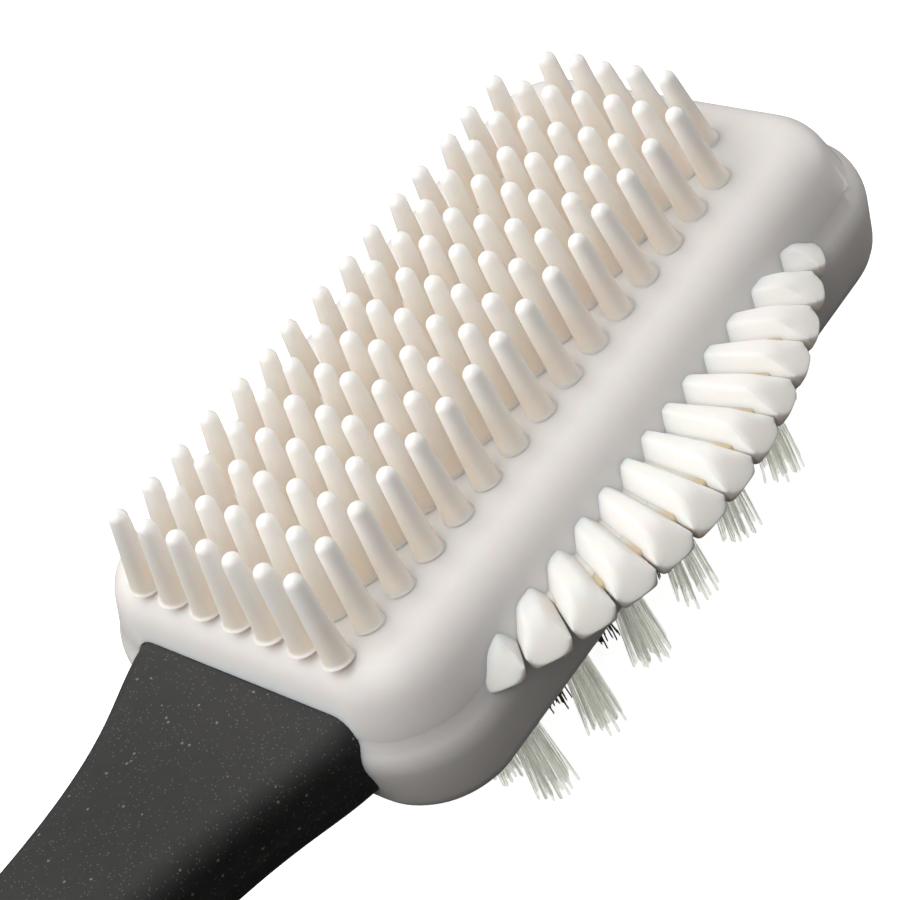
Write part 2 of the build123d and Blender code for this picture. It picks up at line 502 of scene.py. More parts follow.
class Finish(Enum):
    """The finishes of the brush, one material each."""

    # The head's darker low tone is painted shade on its lower wall, and its lighter high tone is painted light on
    # its top.
    HEAD = SoftRubber("head_rubber", (0.62, 0.59, 0.56), (0.80, 0.775, 0.755), 13.0, 26.0)
    # The nubs' warm darker low tone is painted shade and glow at their roots, and their pale high tone is painted
    # light on the tips.
    NUB = SoftRubber("nub_rubber", (0.96, 0.86, 0.76), (0.985, 0.965, 0.925), 28.6, 38.0,
                     glow=0.5, glow_depth=1.2, roughness=0.33, grain_depth=0.005, dust_share=0.05)
    # The fingers' darker low tone is painted shade on their undersides.
    FINGER = SoftRubber("finger_rubber", (0.84, 0.78, 0.70), (0.92, 0.90, 0.87), 20.8, 24.8,
                        glow=0.6, glow_depth=1.8, roughness=0.34, grain_depth=0.008, dust_share=0.12)
    WEB = WebRubber()
    GRIP = GripRubber()
    NYLON = ClearNylon()
    BRASS = BrassWire()
    BLOCK = HardPlastic("block_plastic", (0.70, 0.69, 0.66), (0.64, 0.63, 0.60), 0.38)
    CORE = HardPlastic("core_plastic", (0.030, 0.030, 0.032), (0.022, 0.022, 0.024), 0.42)
    ANCHOR = AnchorMetal()
    FLOOR = PaleFloor()
    CARD = HardPlastic("dark_card", (0.05, 0.05, 0.05), (0.04, 0.04, 0.04), 0.8)

    def material(self) -> bpy.types.Material:
        """The finish's material, made once."""
        return bpy.data.materials.get(self.value.name) or self.value.make()


# ---- Mesh helpers -----------------------------------------------------------------------
def add_piece(name: str, bm: bmesh.types.BMesh, finish: Finish,
              replaces: Iterable[str] = (), sharp_angle: float = 40.0) -> bpy.types.Object:
    """Turn a bmesh in millimetres into a finished piece of the brush.

    Args:
        name: the piece's name.
        bm: its mesh, in millimetres, which is used up.
        finish: its finish.
        replaces: the CAD nodes that the piece stands for.
        sharp_angle: edges that turn by more than this many degrees stay sharp.

    Returns:
        The object, riding on its body.
    """
    bmesh.ops.recalc_face_normals(bm, faces=bm.faces)
    bmesh.ops.scale(bm, vec=(MM, MM, MM), verts=bm.verts)
    mesh = bpy.data.meshes.new(name)
    bm.to_mesh(mesh)
    bm.free()
    mesh.shade_smooth()
    mesh.set_sharp_from_angle(angle=math.radians(sharp_angle))
    mesh.materials.append(finish.material())
    piece = bpy.data.objects.new(name, mesh)
    bpy.context.scene.collection.objects.link(piece)
    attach(piece, BODY)
    if replaces:
        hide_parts(*replaces)
    log.info("%-34s %7d faces", name, len(mesh.polygons))
    return piece


def grow_ring(bm: bmesh.types.BMesh, edges: list, move: Callable) -> list:
    """Extrude a ring of edges and put each new point in its place.

    Args:
        bm: the mesh.
        edges: the ring.
        move: gives a new point's place from the point.

    Returns:
        The new ring's edges.
    """
    made = bmesh.ops.extrude_edge_only(bm, edges=edges)["geom"]
    points = {g for g in made if isinstance(g, bmesh.types.BMVert)}
    for point in points:
        point.co = move(point)
    return [g for g in made if isinstance(g, bmesh.types.BMEdge) and set(g.verts) <= points]


def close_ring(bm: bmesh.types.BMesh, edges: list) -> list:
    """Close a ring with one face, and return the new faces."""
    return bmesh.ops.edgeloop_fill(bm, edges=edges)["faces"]


def round_corner(before: Vector, corner: Vector, after: Vector, radius: float, steps: int) -> list[Vector]:
    """The arc that rounds one corner of a flat outline.

    Args:
        before: the point before the corner.
        corner: the corner.
        after: the point after the corner.
        radius: the arc's radius.
        steps: how many parts the arc has.

    Returns:
        The arc's points, from before to after.
    """
    first = (before - corner).normalized()
    second = (after - corner).normalized()
    half_turn = first.angle(second) / 2
    reach = radius / math.tan(half_turn)
    centre = corner + (first + second).normalized() * radius / math.sin(half_turn)
    start = corner + first * reach - centre
    end = corner + second * reach - centre
    sweep = start.angle(end)
    points = []
    for step in range(steps + 1):
        part = step / steps
        points.append(centre + (start * math.sin((1 - part) * sweep) + end * math.sin(part * sweep))
                      / math.sin(sweep))
    return points


@dataclass
class RoundedLoop:
    """A rounded rectangle of edges whose points remember how they lie along it.

    Each point keeps its share along the straight sides and its outward direction, so a ring
    made from it by extrusion can be any other rounded rectangle.
    """

    corner_parts: int
    long_parts: int
    short_parts: int

    def start(self, bm: bmesh.types.BMesh) -> list:
        """Draw the loop with sides of 4 and corners of 1.

        Args:
            bm: the mesh to draw in.

        Returns:
            The loop's edges.
        """
        self.share = bm.verts.layers.float_vector.new("share")
        self.facing = bm.verts.layers.float_vector.new("facing")
        bmesh.ops.create_grid(bm, x_segments=1, y_segments=1, size=2.0)
        bmesh.ops.bevel(bm, geom=bm.verts[:], offset=1.0, segments=self.corner_parts, profile=0.5,
                        affect="VERTICES", material=-1)
        bmesh.ops.delete(bm, geom=bm.faces[:], context="FACES_ONLY")
        sides = [e for e in bm.edges if e.calc_length() > 1.5]
        along_x = [e for e in sides if abs(e.verts[0].co.y - e.verts[1].co.y) < 0.01]
        along_y = [e for e in sides if e not in along_x]
        bmesh.ops.subdivide_edges(bm, edges=along_x, cuts=self.long_parts - 1)
        bmesh.ops.subdivide_edges(bm, edges=along_y, cuts=self.short_parts - 1)
        for point in bm.verts:
            core = Vector((max(-1, min(1, point.co.x)), max(-1, min(1, point.co.y)), 0))
            point[self.share] = core
            point[self.facing] = (point.co - core).normalized()
        return bm.edges[:]

    def place(self, point: bmesh.types.BMVert, half_x: float, half_y: float, corner: float) -> Vector:
        """Where a point lies on a rounded rectangle of another size, in the XY plane."""
        share = point[self.share]
        facing = point[self.facing]
        return Vector((share.x * (half_x - corner) + facing.x * corner,
                       share.y * (half_y - corner) + facing.y * corner, 0))


class Stamp:
    """A small mesh that is pressed many times into a larger one."""

    def __init__(self, bm: bmesh.types.BMesh) -> None:
        """Keep a copy of the shape.

        Args:
            bm: the shape, which is used up.
        """
        bmesh.ops.recalc_face_normals(bm, faces=bm.faces)
        self.mesh = bpy.data.meshes.new("stamp")
        bm.to_mesh(self.mesh)
        bm.free()

    def press(self, bm: bmesh.types.BMesh, move: Callable) -> None:
        """Add the shape once.

        Args:
            bm: the mesh that takes it.
            move: gives a point's place from its place on the stamp.
        """
        before = len(bm.verts)
        bm.from_mesh(self.mesh)
        bm.verts.ensure_lookup_table()
        for number in range(before, len(bm.verts)):
            bm.verts[number].co = move(bm.verts[number].co)

    def drop(self) -> None:
        """Remove the shape when it is no longer needed."""
        bpy.data.meshes.remove(self.mesh)


# ---- Head -------------------------------------------------------------------------------
@dataclass
class HeadShell:
    """The soft cover of the head: drafted upper half, mould line, bulging lower half, cavity."""

    corner: float = 8.0
    end_wall: float = 3.9
    rim_wall: float = 2.8
    height: float = 15.5
    mould_drop: float = 5.2
    upper_draft: float = 20.0
    top_round: float = 4.2
    side_bulge: float = 1.1
    near_bulge: float = 1.1
    far_bulge: float = 1.7
    bulge_drop: float = 2.6
    bulge_round: float = 4.5
    lower_draft: float = 7.0
    bottom_round: float = 2.8
    face_radius: float = 620.0
    flash_width: float = 0.16
    ragged_flash: float = 0.55
    cavity_gap: float = 0.12
    entry_gap: float = 0.14
    face_strips: int = 28

    def __post_init__(self) -> None:
        """Take the block's size from the frame and work out the outline and levels."""
        low, high = (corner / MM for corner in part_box("bristle_block"))
        self.block_half_x = high.x
        self.block_half_y = high.y
        self.block_corner = 5.0
        self.roof_z = high.z
        self.half_x = high.x + self.end_wall
        self.half_y = high.y + self.rim_wall
        self.underside_z = low.z
        self.face_z = self.underside_z + self.height
        self.mould_z = self.face_z - self.mould_drop
        self.loop = RoundedLoop(corner_parts=20, long_parts=26, short_parts=12)

    def rise(self, x: float) -> float:
        """How much higher the hollow nub face is at x than at its middle."""
        return x * x / (2 * self.face_radius)

    def profile(self, bulge: float) -> list[Vector]:
        """The wall's outline from the underside to the nub face.

        Args:
            bulge: how far the lower half stands out here.

        Returns:
            Points as (distance outside the mould line, height).
        """
        wall = math.tan(math.radians(self.lower_draft))
        widest = Vector((bulge, self.mould_z - self.bulge_drop))
        foot_out = bulge - (widest.y - self.underside_z) * wall
        foot = Vector((foot_out, self.underside_z))
        inside = Vector((foot_out - 2 * self.bottom_round, self.underside_z))
        mould = Vector((0.0, self.mould_z))
        lean = math.tan(math.radians(self.upper_draft))
        brim = Vector((-self.mould_drop * lean, self.face_z))
        face = Vector((brim.x - 2 * self.top_round, self.face_z))
        points = round_corner(inside, foot, widest, self.bottom_round, 7)
        points += round_corner(foot, widest, mould, self.bulge_round, 5)
        half = Vector((0, self.flash_width / 2))
        points += [mould - half, mould, mould + half]
        points += round_corner(mould, brim, face, self.top_round, 9)
        return points

    def bulge_at(self, facing: Vector) -> float:
        """How far the lower half stands out on a side that faces this way."""
        end_bulge = self.far_bulge if facing.x > 0 else self.near_bulge
        return self.side_bulge * facing.y**2 + end_bulge * facing.x**2

    def ragged(self, point: bmesh.types.BMVert) -> float:
        """Extra flash on the mould line near the far corner of the crescent's side."""
        facing = point[self.loop.facing]
        if facing.x < 0.25 or facing.y > -0.1:
            return 0.0
        base = self.loop.place(point, self.half_x, self.half_y, self.corner)
        grain = noise.noise(Vector((base.x * 1.7, base.y * 1.7, 0.0)))
        return self.ragged_flash * max(0.0, grain)

    def build(self, cutter: bpy.types.Object) -> bpy.types.Object:
        """Build the cover.

        Args:
            cutter: the handle's shape, slightly larger, which the cover is opened for.

        Returns:
            The piece.
        """
        bm = bmesh.new()
        ring = self.loop.start(bm)
        plain = self.profile(0.0)
        bulged = self.profile(1.0)
        flash_index = min(range(len(plain)), key=lambda i: abs(plain[i].y - self.mould_z))

        def wall_place(point: bmesh.types.BMVert, index: int) -> Vector:
            """The place of a point on the wall's ring of this index."""
            bulge = self.bulge_at(point[self.loop.facing])
            out, z = plain[index].lerp(bulged[index], bulge)
            if index == flash_index:
                out += self.ragged(point)
            base = self.loop.place(point, self.half_x + out, self.half_y + out, self.corner + out)
            top_share = max(0.0, (z - self.mould_z) / self.mould_drop)
            return base + Vector((0, 0, z + self.rise(base.x) * top_share**1.5))

        def cavity_place(point: bmesh.types.BMVert, z: float) -> Vector:
            """The place of a point on the wall of the block's cavity."""
            gap = self.cavity_gap
            base = self.loop.place(point, self.block_half_x + gap, self.block_half_y + gap,
                                   self.block_corner + gap)
            return base + Vector((0, 0, z))

        for point in bm.verts:
            point.co = wall_place(point, 0)
        lip = grow_ring(bm, ring, lambda p: cavity_place(p, self.underside_z))
        roof = grow_ring(bm, lip, lambda p: cavity_place(p, self.roof_z + self.cavity_gap))
        close_ring(bm, roof)
        for index in range(1, len(plain)):
            ring = grow_ring(bm, ring, lambda p, i=index: wall_place(p, i))
        self._close_face(bm, ring)
        piece = add_piece("head_cover", bm, Finish.HEAD, ["rubber_cover"], 32.0)
        self._open_for_handle(piece, cutter)
        return piece

    def _close_face(self, bm: bmesh.types.BMesh, ring: list) -> None:
        """Close the nub face and bend it to its hollow.

        Args:
            bm: the mesh.
            ring: the inner edge of the top rounding.
        """
        faces = close_ring(bm, ring)
        reach = max(v.co.x for e in ring for v in e.verts)
        for strip in range(1, self.face_strips):
            x = -reach + 2 * reach * strip / self.face_strips
            geom = faces + list({e for f in faces for e in f.edges}) + list({v for f in faces for v in f.verts})
            cut = bmesh.ops.bisect_plane(bm, geom=geom, plane_co=(x, 0, 0), plane_no=(1, 0, 0))
            faces = [g for g in cut["geom"] if isinstance(g, bmesh.types.BMFace)]
            for point in (g for g in cut["geom_cut"] if isinstance(g, bmesh.types.BMVert)):
                point.co.z = self.face_z + self.rise(point.co.x)

    def _open_for_handle(self, piece: bpy.types.Object, cutter: bpy.types.Object) -> None:
        """Cut the handle's opening out of the cover.

        Args:
            piece: the cover.
            cutter: the shape to cut away, which is removed after it.
        """
        cut = piece.modifiers.new("entry", "BOOLEAN")
        cut.operation = "DIFFERENCE"
        cut.solver = "EXACT"
        cut.object = cutter
        graph = bpy.context.evaluated_depsgraph_get()
        opened = bpy.data.meshes.new_from_object(piece.evaluated_get(graph))
        piece.modifiers.clear()
        piece.data = opened
        piece.data.name = "head_cover"
        bpy.data.objects.remove(cutter)


@dataclass
class NubField:
    """The field of tapered round-tipped nubs on the head's face."""

    pitch_x: float = 4.2
    pitch_y: float = 3.88
    rows: int = 16
    columns: int = 7
    grid_x: float = -2.3
    height: float = 9.1
    base_radius: float = 1.27
    tip_radius: float = 0.92
    foot_round: float = 0.30
    root: float = 0.06
    lean_x: float = 7.0
    lean_y: float = 7.5
    wobble: float = 0.8
    sides: int = 16

    def stamp(self) -> Stamp:
        """One nub, spun from its outline."""
        outline = []
        for step in range(5):
            turn = math.radians(90 * step / 4)
            outline.append((self.base_radius + self.foot_round * (1 - math.sin(turn)),
                            self.foot_round * (1 - math.cos(turn)) - self.root))
        middle = self.height - self.tip_radius
        for share in (0.35, 0.7):
            radius = self.base_radius + (self.tip_radius - self.base_radius) * share
            outline.append((radius, middle * share))
        for step in range(6):
            turn = math.radians(90 * step / 5)
            outline.append((self.tip_radius * math.cos(turn), middle + self.tip_radius * math.sin(turn)))
        bm = bmesh.new()
        points = [bm.verts.new((radius, 0, z)) for radius, z in outline]
        edges = [bm.edges.new(pair) for pair in zip(points, points[1:])]
        bmesh.ops.spin(bm, geom=points + edges, cent=(0, 0, 0), axis=(0, 0, 1), dvec=(0, 0, 0),
                       angle=2 * math.pi, steps=self.sides, use_merge=True)
        bmesh.ops.remove_doubles(bm, verts=bm.verts, dist=0.001)
        rim = [e for e in bm.edges if e.is_boundary]
        close_ring(bm, rim)
        return Stamp(bm)

    def build(self, head: HeadShell) -> bpy.types.Object:
        """Stand every nub on the head's face.

        Args:
            head: the cover that carries them.

        Returns:
            The piece.
        """
        draw = random.Random(5)
        stamp = self.stamp()
        bm = bmesh.new()
        half_rows = (self.rows - 1) / 2
        half_columns = (self.columns - 1) / 2
        for row in range(self.rows):
            for column in range(self.columns):
                if row == self.rows - 1 and column in (0, self.columns - 1):
                    continue
                along = row - half_rows
                across = column - half_columns
                x = self.grid_x + along * self.pitch_x
                y = across * self.pitch_y
                lean_x = self.lean_y * across / half_columns + draw.gauss(0, self.wobble)
                lean_y = -self.lean_x * along / half_rows + draw.gauss(0, self.wobble)
                turn = Matrix.Rotation(math.radians(lean_y), 4, "Y") @ Matrix.Rotation(math.radians(lean_x), 4, "X")
                place = Matrix.Translation((x, y, head.face_z + head.rise(x)))
                stamp.press(bm, lambda co, m=place @ turn: m @ co)
        stamp.drop()
        return add_piece("nub_field", bm, Finish.NUB, ["rubber_cover"], 60.0)


@dataclass
class FingerCrescent:
    """The crescent of thirteen soft fingers and the thin web between them."""

    count: int = 13
    arc_radius: float = 47.0
    stand: float = 9.3
    arc_span: float = 67.0
    centre_x: float = -1.6
    fan_depth: float = 36.0
    top_drop: float = 3.3
    height: float = 4.6
    length: float = 12.0
    crest_width: float = 1.0
    crest_flare: float = 1.5
    valley_width: float = 3.6
    valley_flare: float = 0.85
    foot_width: float = 3.3
    valley_drop: float = 2.1
    tip_round: float = 1.2
    nail_back: float = 2.7
    nail_drop: float = 2.9
    lip_under: float = 1.5
    rounding: int = 3
    crease: float = 0.36
    web_height: float = 1.4
    web_setback: float = 2.6
    web_end_setback: float = 8.5

    def stamp(self) -> Stamp:
        """One finger that points along +X with its tip at the origin and its crest at zero.

        It is a ridge: a narrow crest, wide flanks that meet the next finger in a valley, and a
        foot that is a little narrower again. Two cuts make its nail and the slope under it.
        """
        bm = bmesh.new()
        bmesh.ops.create_grid(bm, x_segments=1, y_segments=1, size=0.5)
        for point in bm.verts:
            point.co = (0 if point.co.x > 0 else -self.length, math.copysign(0.5, point.co.y), -self.height)
        bmesh.ops.scale(bm, vec=(1, self.foot_width, 1), verts=bm.verts)
        tips = [v for v in bm.verts if v.co.x > -0.01]
        bmesh.ops.bevel(bm, geom=tips, offset=self.tip_round, segments=4, profile=0.5, affect="VERTICES",
                        material=-1)
        levels = ((-self.valley_drop, self.valley_width, self.valley_flare),
                  (0.0, self.crest_width, self.crest_flare))
        base = self.foot_width
        foot = bm.faces[:]
        face = foot
        for z, width, flare in levels:
            made = bmesh.ops.extrude_face_region(bm, geom=face)["geom"]
            if face != foot:
                bmesh.ops.delete(bm, geom=face, context="FACES_ONLY")
            face = [g for g in made if isinstance(g, bmesh.types.BMFace)]
            for point in (g for g in made if isinstance(g, bmesh.types.BMVert)):
                reach = 1 + point.co.x / self.length
                point.co.z = z
                point.co.y *= (width + flare * reach) / base
            base = width + flare
        self._plane_off(bm, (-self.nail_back, 0, 0), (self.nail_drop, 0, self.nail_back + 0.1))
        self._plane_off(bm, (0, 0, -self.nail_drop), (self.height - self.nail_drop, 0, -self.lip_under))
        crease = bm.edges.layers.float.new("crease_edge")
        for edge in bm.edges:
            if edge.calc_face_angle(0) > math.radians(25):
                edge[crease] = self.crease
        return Stamp(bm)

    @staticmethod
    def _plane_off(bm: bmesh.types.BMesh, place: tuple, facing: tuple) -> None:
        """Cut away what lies outside a plane and close the cut.

        Args:
            bm: the mesh.
            place: a point on the plane.
            facing: the plane's outward direction.
        """
        geom = bm.verts[:] + bm.edges[:] + bm.faces[:]
        cut = bmesh.ops.bisect_plane(bm, geom=geom, plane_co=place, plane_no=facing, clear_outer=True)
        close_ring(bm, [g for g in cut["geom_cut"] if isinstance(g, bmesh.types.BMEdge)])

    def places(self, head: HeadShell) -> Iterable[Matrix]:
        """Where each finger stands.

        Args:
            head: the cover that carries them.

        Yields:
            The place of one finger's tip, turned along the finger.
        """
        reach = head.half_y + self.stand
        for number in range(self.count):
            angle = math.radians((number / (self.count - 1) - 0.5) * self.arc_span)
            x = self.centre_x + self.arc_radius * math.sin(angle)
            y = self.arc_radius * (1 - math.cos(angle)) - reach
            turn = math.atan2(y - self.fan_depth + reach, x - self.centre_x)
            yield Matrix.Translation((x, y, head.face_z - self.top_drop)) @ Matrix.Rotation(turn, 4, "Z")

    def build(self, head: HeadShell) -> list[bpy.types.Object]:
        """Build the fingers and their web.

        Args:
            head: the cover that carries them.

        Returns:
            The two pieces.
        """
        stamp = self.stamp()
        bm = bmesh.new()
        for place in self.places(head):
            stamp.press(bm, lambda co, m=place: m @ co)
        stamp.drop()
        fingers = add_piece("crescent_fingers", bm, Finish.FINGER, ["rubber_cover"], 60.0)
        smooth = fingers.modifiers.new("round", "SUBSURF")
        smooth.levels = self.rounding
        smooth.render_levels = self.rounding
        return [fingers, self._web(head)]

    def _web(self, head: HeadShell) -> bpy.types.Object:
        """Build the thin web that joins the fingers.

        Args:
            head: the cover that carries it.

        Returns:
            The piece.
        """
        bm = bmesh.new()
        radius = self.arc_radius
        middle_y = radius - head.half_y - self.stand
        half_span = radius * math.sin(math.radians(self.arc_span / 2)) - self.web_end_setback
        bmesh.ops.create_circle(bm, cap_ends=True, radius=radius - self.web_setback, segments=220)
        bmesh.ops.translate(bm, vec=(self.centre_x, middle_y, 0), verts=bm.verts)
        for place, facing in (((0, 4 - head.half_y, 0), (0, 1, 0)),
                              ((self.centre_x + half_span, 0, 0), (1, 0, 0)),
                              ((self.centre_x - half_span, 0, 0), (-1, 0, 0))):
            geom = bm.verts[:] + bm.edges[:] + bm.faces[:]
            bmesh.ops.bisect_plane(bm, geom=geom, plane_co=place, plane_no=facing, clear_outer=True)
        middle_z = head.face_z - self.top_drop - self.height / 2
        bmesh.ops.translate(bm, vec=(0, 0, middle_z - self.web_height / 2), verts=bm.verts)
        made = bmesh.ops.extrude_face_region(bm, geom=bm.faces[:])["geom"]
        top = [g for g in made if isinstance(g, bmesh.types.BMVert)]
        bmesh.ops.translate(bm, vec=(0, 0, self.web_height), verts=top)
        bmesh.ops.recalc_face_normals(bm, faces=bm.faces)
        rims = [e for e in bm.edges if e.calc_face_angle(0) > math.radians(60)]
        bmesh.ops.bevel(bm, geom=rims, offset=0.4, segments=3, profile=0.5, affect="EDGES", material=-1)
        return add_piece("crescent_web", bm, Finish.WEB, ["rubber_cover"], 40.0)


# ---- Handle -----------------------------------------------------------------------------
@dataclass
class Grip:
    """The soft grip, skinned over the sections of the handle in the frame."""

    corner: float = 2.6
    stations: int = 60
    seam_height: float = 0.10
    seam_share: float = -2 / 3
    nose_round: float = 1.6
    nose_steps: int = 6
    sections: list = field(default_factory=list)

    def __post_init__(self) -> None:
        """Read the handle's half width, top and underside at each station from the frame."""
        low, high = (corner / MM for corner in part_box("handle_grip"))
        self.low_x = low.x
        self.high_x = high.x
        self.loop = RoundedLoop(corner_parts=7, long_parts=12, short_parts=12)
        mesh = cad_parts["handle_grip"].data
        for x in self._station_places():
            bm = bmesh.new()
            bm.from_mesh(mesh)
            bmesh.ops.scale(bm, vec=(1 / MM,) * 3, verts=bm.verts)
            geom = bm.verts[:] + bm.edges[:] + bm.faces[:]
            cut = bmesh.ops.bisect_plane(bm, geom=geom, plane_co=(x, 0, 0), plane_no=(1, 0, 0))["geom_cut"]
            points = [g.co.copy() for g in cut if isinstance(g, bmesh.types.BMVert)]
            bm.free()
            top = max(p.z for p in points)
            under = min(p.z for p in points)
            self.sections.append((x, max(p.y for p in points), top, under))

    def _station_places(self) -> list[float]:
        """Stations along the handle, closer together round the nose."""
        places = [self.low_x + 0.02]
        for step in range(1, self.nose_steps):
            turn = math.radians(90 * step / self.nose_steps)
            places.append(self.low_x + self.nose_round * (1 - math.cos(turn)))
        start = self.low_x + self.nose_round
        reach = self.high_x - 0.02 - start
        places += [start + reach * step / self.stations for step in range(self.stations + 1)]
        return places

    def skin(self, outset: float, seam: float) -> bmesh.types.BMesh:
        """Skin the sections.

        Args:
            outset: how far outside the grip's surface the skin lies.
            seam: the height of the parting line's ridge.

        Returns:
            The closed mesh, in millimetres.
        """
        bm = bmesh.new()
        ring = self.loop.start(bm)

        def station_place(point: bmesh.types.BMVert, section: tuple) -> Vector:
            """The place of a point on one section's ring."""
            x, half_width, top, under = section
            half_height = (top - under) / 2 + outset
            half_width += outset
            corner = min(self.corner + outset, 0.45 * 2 * half_height, 0.9 * half_width)
            flat = self.loop.place(point, half_width, half_height, corner)
            on_seam = abs(point[self.loop.facing].x) > 0.99
            if on_seam and abs(point[self.loop.share].y - self.seam_share) < 0.02:
                flat.x += math.copysign(seam, flat.x)
            return Vector((x, flat.x, (top + under) / 2 + flat.y))

        for point in bm.verts:
            point.co = station_place(point, self.sections[0])
        first = ring
        for section in self.sections[1:]:
            ring = grow_ring(bm, ring, lambda p, s=section: station_place(p, s))
        close_ring(bm, first)
        close_ring(bm, ring)
        return bm

    def cutter(self, gap: float) -> bpy.types.Object:
        """The shape of the handle's opening in the cover.

        Args:
            gap: the clearance round the handle.

        Returns:
            A scratch object, which is not part of the brush.
        """
        bm = self.skin(gap, 0.0)
        bmesh.ops.recalc_face_normals(bm, faces=bm.faces)
        bmesh.ops.scale(bm, vec=(MM, MM, MM), verts=bm.verts)
        mesh = bpy.data.meshes.new("entry_cutter")
        bm.to_mesh(mesh)
        bm.free()
        scratch = bpy.data.objects.new("entry_cutter", mesh)
        bpy.context.scene.collection.objects.link(scratch)
        return scratch

    def build(self) -> bpy.types.Object:
        """Build the grip."""
        bm = self.skin(0.0, self.seam_height)
        return add_piece("soft_grip", bm, Finish.GRIP, ["handle_grip"], 50.0)


# ---- Tufts ------------------------------------------------------------------------------
class Strand(Enum):
    """What a tuft is made of."""

    NYLON = "nylon"
    BRASS = "brass"


@dataclass(frozen=True)
class StrandKind:
    """How the strands of a tuft are drawn."""

    finish: Finish
    slot: str
    radius: float
    sides: int
    parts: int
    per_tuft: int
    root_spread: float
    tip_spread: float
    trim: float
    scatter: float
    bow: float
    crimp: float
    crimp_length: float


STRANDS = {
    Strand.NYLON: StrandKind(finish=Finish.NYLON, slot="nylon", radius=0.14, sides=6, parts=3,
                             per_tuft=34, root_spread=1.0, tip_spread=2.15, trim=1.6, scatter=0.12,
                             bow=0.10, crimp=0.0, crimp_length=1.0),
    Strand.BRASS: StrandKind(finish=Finish.BRASS, slot="brass_wire", radius=0.075, sides=5, parts=11,
                             per_tuft=22, root_spread=0.9, tip_spread=1.30, trim=1.5, scatter=0.16,
                             bow=0.12, crimp=0.16, crimp_length=2.7),
}


@dataclass
class TuftRow:
    """One row of tufts, grown where the frame has it."""

    node: str
    strand: Strand
    seed: int
    pitch_x: float = 8.0
    pitch_y: float = 5.2

    def places(self) -> tuple[list[Vector], float]:
        """Where the tufts of the row are.

        Returns:
            The middle of each tuft at its trimmed end, and the height of their roots.
        """
        low, high = (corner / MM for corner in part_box(self.node))
        radius = min(high.x - low.x, high.y - low.y) / 2
        start = Vector((low.x + radius, low.y + radius, low.z))
        end = Vector((high.x - radius, high.y - radius, low.z))
        pitch = self.pitch_x if abs(end.x - start.x) > 1 else self.pitch_y
        steps = round((end - start).length / pitch)
        return [start.lerp(end, step / steps) for step in range(steps + 1)], high.z

    def stamp(self, kind: StrandKind) -> Stamp:
        """One straight strand of unit length along +Z with a rounded end at zero."""
        bm = bmesh.new()
        made = bmesh.ops.create_circle(bm, cap_ends=False, radius=kind.radius * 0.62, segments=kind.sides)
        ring = list({e for v in made["verts"] for e in v.link_edges})
        close_ring(bm, ring)
        grown = [(0.012, 1.0)] + [(0.012 + 0.988 * part / kind.parts, 1.0) for part in range(1, kind.parts + 1)]
        for z, size in grown:
            ring = grow_ring(bm, ring, lambda p, z=z, size=size: Vector(
                (*(p.co.xy.normalized() * kind.radius * size), z)))
        close_ring(bm, ring)
        return Stamp(bm)

    def build(self) -> bpy.types.Object:
        """Grow every strand of the row.

        Returns:
            The piece.
        """
        kind = STRANDS[self.strand]
        places, root_z = self.places()
        draw = random.Random(self.seed)
        stamp = self.stamp(kind)
        bm = bmesh.new()
        for place in places:
            for number in range(kind.per_tuft):
                self._grow(bm, stamp, kind, place, root_z, number, draw)
        stamp.drop()
        return add_piece(f"{self.node}_strands", bm, kind.finish, [self.node], 60.0)

    def _grow(self, bm: bmesh.types.BMesh, stamp: Stamp, kind: StrandKind, place: Vector, root_z: float,
              number: int, draw: random.Random) -> None:
        """Grow one strand.

        Args:
            bm: the row's mesh.
            stamp: the straight strand.
            kind: how the strand is drawn.
            place: the tuft's middle at its trimmed end.
            root_z: the height of the tuft's root.
            number: the strand's number in its tuft.
            draw: the row's random numbers.
        """
        share = math.sqrt((number + 0.5) / kind.per_tuft)
        turn = number * math.pi * (3 - math.sqrt(5)) + draw.uniform(-0.25, 0.25)
        way = Vector((math.cos(turn), math.sin(turn), 0))
        root = way * share * kind.root_spread
        tip = way * share * kind.tip_spread
        tip += Vector((draw.gauss(0, kind.scatter), draw.gauss(0, kind.scatter), 0))
        end_z = draw.uniform(0, 1) ** 1.6 * kind.trim
        bow = way * draw.uniform(-kind.bow, kind.bow)
        crimp_way = Vector((math.cos(turn * 2.3), math.sin(turn * 2.3), 0))
        phase = draw.uniform(0, 2 * math.pi)
        wave = kind.crimp * draw.uniform(0.6, 1.3)

        def bend(co: Vector) -> Vector:
            """A point's place on the bent strand."""
            z = end_z + (root_z - end_z) * co.z
            rise = z / root_z
            middle = tip.lerp(root, min(1.0, rise * 1.25))
            middle += bow * math.sin(math.pi * rise)
            middle += crimp_way * wave * math.sin(2 * math.pi * z / kind.crimp_length + phase) * (1 - rise)
            return Vector((place.x + middle.x + co.x, place.y + middle.y + co.y, z))

        stamp.press(bm, bend)


# ---- Small parts that stay as the frame has them ----------------------------------------
def dress_node(name: str, finish: Finish) -> None:
    """Give a node of the frame its finish.

    Args:
        name: the node.
        finish: its finish.
    """
    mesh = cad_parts[name].data
    mesh.materials.clear()
    mesh.materials.append(finish.material())
    log.info("%-34s keeps its frame shape", name)


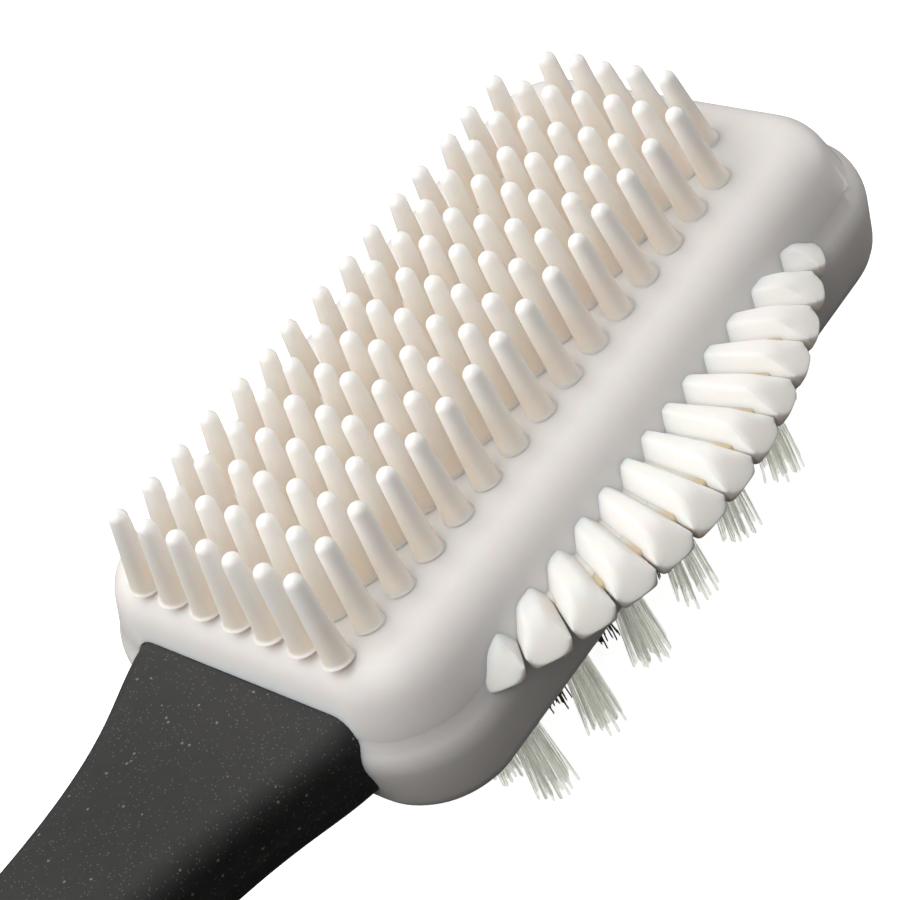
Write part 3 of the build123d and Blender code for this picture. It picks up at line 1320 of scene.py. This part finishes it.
# ---- Studio -----------------------------------------------------------------------------
@dataclass
class Studio:
    """The floor, the soft lights and the camera."""

    camera_place: tuple = (-101.6, -140.55, 170.6)
    camera_aim: tuple = (-8.07, -1.94, 24.0)
    camera_roll: float = -27.7
    lens: float = 99.66

    def build(self) -> None:
        """Set up the floor, the light and the camera."""
        self._floor()
        self._light("back_panel", (-120, 280, 380), 0.45, 1.8, (1.0, 0.99, 0.97))
        self._light("top_panel", (-220, -60, 380), 0.45, 1.15, (1.0, 0.99, 0.98))
        self._light("far_panel", (330, -90, 90), 0.25, 0.45, (1.0, 0.99, 0.98))
        self._surroundings(0.22)
        self._camera()
        bpy.context.scene.view_settings.view_transform = "Standard"

    def _floor(self) -> None:
        """Lay the floor under the bristle ends, and a dark card that shades the brush from below."""
        floor = self._sheet("floor", 0.0, Finish.FLOOR)
        floor.visible_diffuse = False
        floor.visible_glossy = False
        card = self._sheet("shade_card", -2.0, Finish.CARD)
        card.visible_camera = False
        card.visible_transmission = False

    @staticmethod
    def _sheet(name: str, z: float, finish: Finish) -> bpy.types.Object:
        """Lay one wide level sheet.

        Args:
            name: the sheet's name.
            z: its height in millimetres.
            finish: its finish.

        Returns:
            The sheet, which belongs to the studio.
        """
        bm = bmesh.new()
        bmesh.ops.create_grid(bm, x_segments=8, y_segments=8, size=3.0)
        bmesh.ops.translate(bm, vec=(0, 0, z * MM), verts=bm.verts)
        mesh = bpy.data.meshes.new(name)
        bm.to_mesh(mesh)
        bm.free()
        mesh.materials.append(finish.material())
        sheet = bpy.data.objects.new(name, mesh)
        bpy.context.scene.collection.objects.link(sheet)
        return sheet

    def _light(self, name: str, place: tuple, size: float, power: float, colour: Colour) -> None:
        """Hang one square light panel that faces the head.

        Args:
            name: the light's name.
            place: its middle, in millimetres.
            size: its side, in metres.
            power: its power, in watts.
            colour: its colour.
        """
        data = bpy.data.lights.new(name, "AREA")
        data.shape = "SQUARE"
        data.size = size
        data.energy = power
        data.color = colour
        light = bpy.data.objects.new(name, data)
        light.location = Vector(place) * MM
        light.rotation_euler = (Vector(self.camera_aim) - Vector(place)).to_track_quat("-Z", "Y").to_euler()
        bpy.context.scene.collection.objects.link(light)

    @staticmethod
    def _surroundings(strength: float) -> None:
        """Fill the room with even pale light."""
        world = bpy.data.worlds.new("studio")
        world.use_nodes = True
        world.node_tree.nodes["Background"].inputs["Color"].default_value = (1.0, 0.99, 0.98, 1.0)
        world.node_tree.nodes["Background"].inputs["Strength"].default_value = strength
        bpy.context.scene.world = world

    def _camera(self) -> None:
        """Place the camera."""
        data = bpy.data.cameras.new("camera")
        data.lens = self.lens
        data.sensor_width = 36.0
        data.clip_start = 0.01
        data.clip_end = 20.0
        camera = bpy.data.objects.new("camera", data)
        place = Vector(self.camera_place) * MM
        aim = Vector(self.camera_aim) * MM
        turn = (aim - place).to_track_quat("-Z", "Y").to_matrix()
        camera.matrix_world = (Matrix.Translation(place)
                               @ (turn @ Matrix.Rotation(math.radians(self.camera_roll), 3, "Z")).to_4x4())
        bpy.context.scene.collection.objects.link(camera)
        bpy.context.scene.camera = camera


def build_tufts() -> None:
    """Grow the tufts in every row of the frame that holds them."""
    nodes = sorted(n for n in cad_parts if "_tufts_" in n)
    for seed, node in enumerate(nodes):
        strand = Strand(node.split("_")[0])
        TuftRow(node, strand, seed).build()


def main() -> None:
    """Build the brush and its studio."""
    logging.basicConfig(level=logging.INFO, format="%(message)s")
    Studio().build()
    head = HeadShell()
    grip = Grip()
    head.build(grip.cutter(head.entry_gap))
    NubField().build(head)
    FingerCrescent().build(head)
    grip.build()
    build_tufts()
    dress_node("bristle_block", Finish.BLOCK)
    dress_node("handle_core", Finish.CORE)
    for node in sorted(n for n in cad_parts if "_anchors_" in n):
        dress_node(node, Finish.ANCHOR)


if __name__ == "__main__":
    main()
